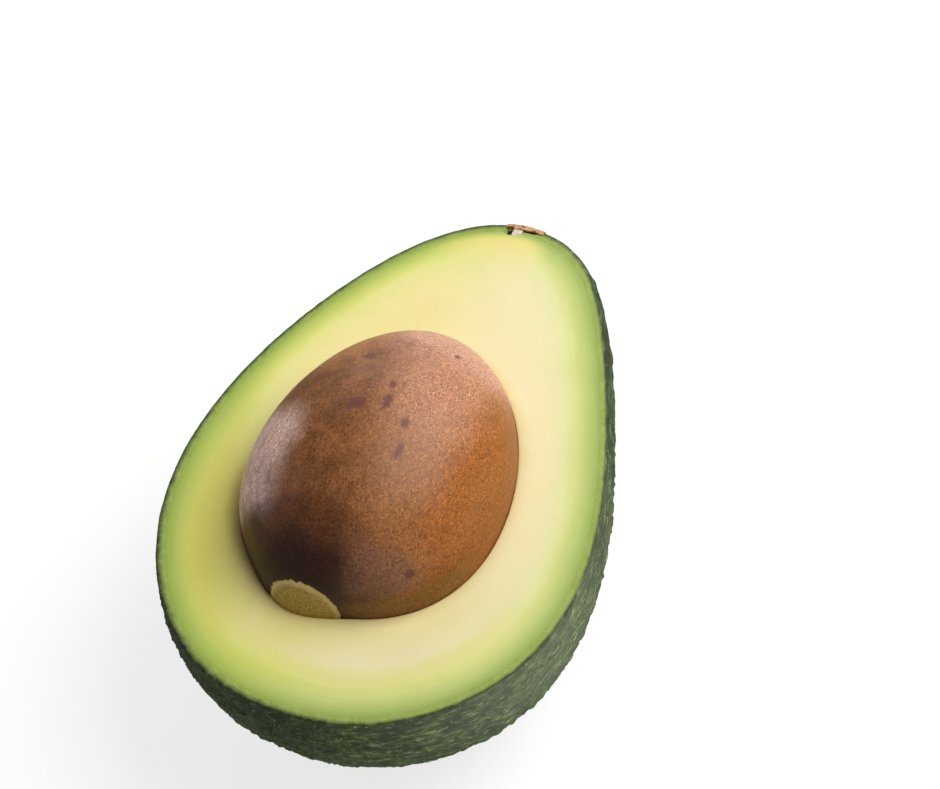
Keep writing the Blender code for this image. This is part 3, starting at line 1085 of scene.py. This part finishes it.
def stone_material():
    """Brown papery seed coat in several tones, some of them partly painted light and shade, with dark
    bruises, a pale painted reflection and a base scar.
    """
    material, board, shader = new_material("papery_stone_coat", {
        "Specular IOR Level": 0.28, "Coat Weight": 0.03, "Coat Roughness": 0.4})
    own = stone_own_frame(board, board.attribute)
    wander = (board.noise(own, 7.0 * MM, detail=3.0) - 0.5) * 5.5
    stray = (board.noise(own + Vector((0.05, 0.02, 0.0)), 7.0 * MM, detail=3.0) - 0.5) * 5.5
    along = own.part(0) / MM + wander
    across = own.part(1) / MM + stray
    upward = own.part(2) / MM + wander * 0.3

    blotch = board.noise(own, 3.5 * MM, detail=3.0)
    colour = board.blend(blotch.ease(0.35, 0.7), srgb(118, 73, 38), srgb(138, 88, 50))
    # Tones by place on the stone, each laid over the ones before; some are partly painted light and shade.
    tones = (
        (across.ease(3.0, -11.0), (156, 102, 60)),
        # Lighter rosy tone on the -Y side towards the stem end: partly the coat's own tone, partly painted
        # highlight.
        (across.ease(4.0, -6.0) * along.ease(-6.0, 9.0), (176, 124, 94)),
        # Pinkish tone towards the stem end: partly the coat's own tone, partly painted sheen.
        (along.ease(14.0, 22.0), (196, 148, 128)),
        (across.ease(-12.0, -18.0), (152, 88, 30)),
        (along.ease(6.0, 14.0) * across.ease(3.0, 9.0), (168, 114, 74)),
        # Darker towards the blunt end, away from the far -Y side: partly the coat's own brown, partly
        # painted shade.
        (along.ease(-12.5, -19.5) * across.ease(-16.0, -2.0) * 0.75, (96, 52, 30)),
        (along.ease(-18.0, -23.5) * across.ease(-15.0, 0.0), (60, 29, 23)),
        (along.ease(-13.0, -17.0) * across.ease(9.5, 13.0) * upward.ease(3.0, -1.0), (132, 82, 48)),
        (along.ease(-17.0, -20.0) * across.ease(-3.0, -8.0) * upward.ease(6.5, 8.5) * 0.6, (139, 96, 76)),
        (upward.ease(7.5, 5.0) * along.ease(-9.0, -15.0) * across.ease(-2.0, -6.0) * 0.8, (138, 96, 40)),
    )
    for share, tone in tones:
        colour = board.blend(share, colour, srgb(*tone))
    # A pale lilac painted reflection, in lengthways streaks, down the +Y side.
    lengthways = own * Vector((0.16, 1.0, 1.0))
    streaks = board.noise(lengthways, 1.4 * MM, detail=3.0).ease(0.25, 0.65, 0.62, 1.0)
    painted_reflection = across.ease(8.0, 14.5) * along.ease(-20.5, -15.0) * along.ease(3.0, -4.0) * streaks
    colour = board.blend(painted_reflection, colour, srgb(222, 186, 180))

    fibre_place = own * Vector((0.75, 1.0, 1.0))
    fibres = board.noise(fibre_place, 0.36 * MM, detail=4.0, roughness=0.65, distortion=1.2)
    colour = board.blend(fibres.ease(0.36, 0.52, 0.8, 0.0), colour, (0.42, 0.38, 0.32), "MULTIPLY")
    colour = board.blend(fibres.ease(0.52, 0.68, 0.0, 0.8), colour, (2.0, 1.85, 1.45), "MULTIPLY")
    colour = board.blend(blotch.ease(0.5, 0.3, 0.0, 0.25), colour, (0.6, 0.55, 0.55), "MULTIPLY")

    wobble = (board.noise(own, 1.2 * MM, detail=3.0) - 0.5) * 1.2
    for along_mm, turn, length, width in STONE_SPOTS:
        shrink = Vector((1.0 / (length * MM), 1.0 / (width * MM), 1.0 / (width * MM)))
        spot = on_stone(along_mm * MM, math.radians(turn))
        from_spot = ((own - spot) * shrink).length() + wobble
        colour = board.blend(from_spot.ease(0.5, 1.5, 0.8, 0.0), colour, srgb(100, 56, 50))

    from_scar, at_base = from_base_scar(board, own, 0.9 * MM, detail=3.0)
    halo = from_scar.ease(BASE_SCAR_RADIUS, BASE_SCAR_RADIUS + 4.0 * MM, 0.65, 0.0) * at_base
    colour = board.blend(halo, colour, srgb(58, 32, 32))
    patch = board.blend(fibres.ease(0.38, 0.62), srgb(150, 120, 56), srgb(206, 170, 90))
    fringe = from_scar.ease(BASE_SCAR_RADIUS - 1.1 * MM, BASE_SCAR_RADIUS - 0.1 * MM)
    patch = board.blend(fringe * 0.75, patch, srgb(232, 206, 140))
    on_patch = from_scar.ease(BASE_SCAR_RADIUS, BASE_SCAR_RADIUS + 0.3 * MM, 1.0, 0.0) * at_base
    colour = board.blend(on_patch, colour, patch)

    rough = fibres.ease(0.3, 0.7, 0.36, 0.55)
    plug(board, shader, Base_Color=colour, Roughness=rough, Normal=board.bump(fibres, 0.4, 0.07 * MM))
    return material


def bark_material():
    """Dry tan bark, streaked darker, with whitish pith; the pocket and the groove are painted almost black
    as shade.
    """
    material, board, shader = new_material("dry_stem_bark", {"Roughness": 0.8})
    place = object_place(board)
    tone = board.noise(place * Vector((1.0, 0.4, 1.0)), 0.7 * MM, detail=4.0)
    bark = board.blend(tone.ease(0.35, 0.6), srgb(104, 64, 36), srgb(214, 166, 118))
    pith = board.blend(
        board.noise(place, 0.6 * MM).ease(0.35, 0.65), srgb(206, 180, 150), srgb(232, 222, 216))
    # Painted shade, almost black, off the flake; the pith is laid over it next, leaving the pocket and the
    # groove dark.
    colour = board.blend(board.attribute("flake").ease(0.4, 0.8), srgb(24, 16, 10), bark)
    colour = board.blend(board.attribute("pith").ease(0.4, 0.9), colour, pith)
    grain = board.noise(place, 0.3 * MM, detail=3.0)
    plug(board, shader, Base_Color=colour, Normal=board.bump(grain, 0.6, 0.1 * MM))
    return material


def floor_material():
    """Plain pale studio floor."""
    material, _, _ = new_material("pale_floor", {
        "Base Color": (0.30, 0.30, 0.30, 1.0), "Roughness": 0.9, "Specular IOR Level": 0.0,
        "Emission Color": (1.0, 1.0, 1.0, 1.0), "Emission Strength": 0.76})
    return material


# ---------------------------------------------------------------------------------------------
# Studio
# ---------------------------------------------------------------------------------------------

CAMERA_AIM = Vector((15.2 * MM, -4.9 * MM, CUT_HEIGHT))
CAMERA_DISTANCE = 607.2 * MM
CAMERA_AZIMUTH = math.radians(-144.9)
CAMERA_ELEVATION = math.radians(56.3)
CAMERA_ROLL = math.radians(-13.2)
CAMERA_LENS = 137.9
CAMERA_SENSOR = 36.0

FLOOR_SIZE = 6.0
SURROUND_STRENGTH = 0.15

# Soft lights: azimuth and elevation in degrees, distance, size in metres, power in watts and colour.
SOFT_LIGHTS = {
    "key": (-50.0, 52.0, 1.0, (0.8, 0.8), 12.0, (1.0, 0.985, 0.96)),
    "back_strip": (20.0, 18.0, 0.9, (0.9, 0.3), 3.0, (1.0, 1.0, 1.0)),
    "side_strip": (105.0, 12.0, 0.8, (0.15, 0.5), 0.5, (1.0, 1.0, 1.0)),
}
FLOOR_GLOW_AZIMUTH = -104.0
FLOOR_GLOW_HEIGHT = 1.0 * MM


def heading(azimuth, elevation):
    """Direction at an azimuth from +X and an elevation, in radians."""
    level = math.cos(elevation)
    return Vector((level * math.cos(azimuth), level * math.sin(azimuth), math.sin(elevation)))


def add_camera():
    """The camera looks down on the cut face."""
    lens = bpy.data.cameras.new("view")
    lens.sensor_width = CAMERA_SENSOR
    lens.lens = CAMERA_LENS
    lens.clip_start = 0.01
    lens.clip_end = 20.0
    camera = bpy.data.objects.new("view", lens)
    away = heading(CAMERA_AZIMUTH, CAMERA_ELEVATION)
    camera.location = CAMERA_AIM + away * CAMERA_DISTANCE
    camera.rotation_mode = "QUATERNION"
    camera.rotation_quaternion = away.to_track_quat("Z", "Y") @ Quaternion((0.0, 0.0, 1.0), CAMERA_ROLL)
    bpy.context.scene.collection.objects.link(camera)
    bpy.context.scene.camera = camera


def add_soft_light(name, azimuth, elevation, distance, size, power, colour):
    """An oblong soft light turned to the middle of the cut face."""
    lamp = bpy.data.lights.new(name, "AREA")
    lamp.shape = "RECTANGLE"
    lamp.size = size[0]
    lamp.size_y = size[1]
    lamp.energy = power
    lamp.color = colour
    light = bpy.data.objects.new(name, lamp)
    away = heading(math.radians(azimuth), math.radians(elevation))
    light.location = Vector((0.0, 0.0, CUT_HEIGHT)) + away * distance
    light.rotation_mode = "QUATERNION"
    light.rotation_quaternion = away.to_track_quat("Z", "Y")
    bpy.context.scene.collection.objects.link(light)
    return light


def add_floor_glow():
    """Light coming up off the bright floor on the fruit's lit side."""
    light = add_soft_light(
        "floor_glow", FLOOR_GLOW_AZIMUTH, 0.0, 0.125, (0.22, 0.14), 0.26, (0.97, 1.0, 0.84))
    light.location.z = FLOOR_GLOW_HEIGHT
    across = Quaternion((0.0, 0.0, 1.0), math.radians(FLOOR_GLOW_AZIMUTH + 90.0))
    light.rotation_quaternion = across @ Quaternion((1.0, 0.0, 0.0), math.pi)
    light.visible_camera = False


def add_studio():
    """Pale floor, soft lights and an even pale surround."""
    bpy.ops.mesh.primitive_plane_add(size=FLOOR_SIZE)
    floor = bpy.context.object
    floor.name = "floor"
    floor.data.materials.append(floor_material())
    floor.visible_glossy = False
    world = bpy.data.worlds.new("surround")
    world.use_nodes = True
    surround = world.node_tree.nodes["Background"]
    surround.inputs["Color"].default_value = (1.0, 1.0, 1.0, 1.0)
    surround.inputs["Strength"].default_value = SURROUND_STRENGTH
    bpy.context.scene.world = world
    bpy.context.scene.view_settings.view_transform = "Standard"
    for name, settings in SOFT_LIGHTS.items():
        add_soft_light(name, *settings)
    add_floor_glow()


# ---------------------------------------------------------------------------------------------
# The fruit
# ---------------------------------------------------------------------------------------------


def stand_in(piece, slot, *nodes):
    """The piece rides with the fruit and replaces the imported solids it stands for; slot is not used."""
    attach(piece, "root")
    if nodes:
        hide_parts(*nodes)


def build():
    """Model the half fruit and its studio."""
    peel = make_peel(rind_material())
    pores = make_pores(peel, pore_material())
    flesh = make_flesh(flesh_material())
    stone = make_stone(stone_material())
    scar = make_scar(bark_material())
    stand_in(peel, "peel", "peel")
    stand_in(pores, "peel")
    stand_in(flesh, "flesh", "flesh")
    stand_in(stone, "stone", "stone")
    stand_in(scar, "stem_scar", "stem_scar")
    add_camera()
    add_studio()


build()
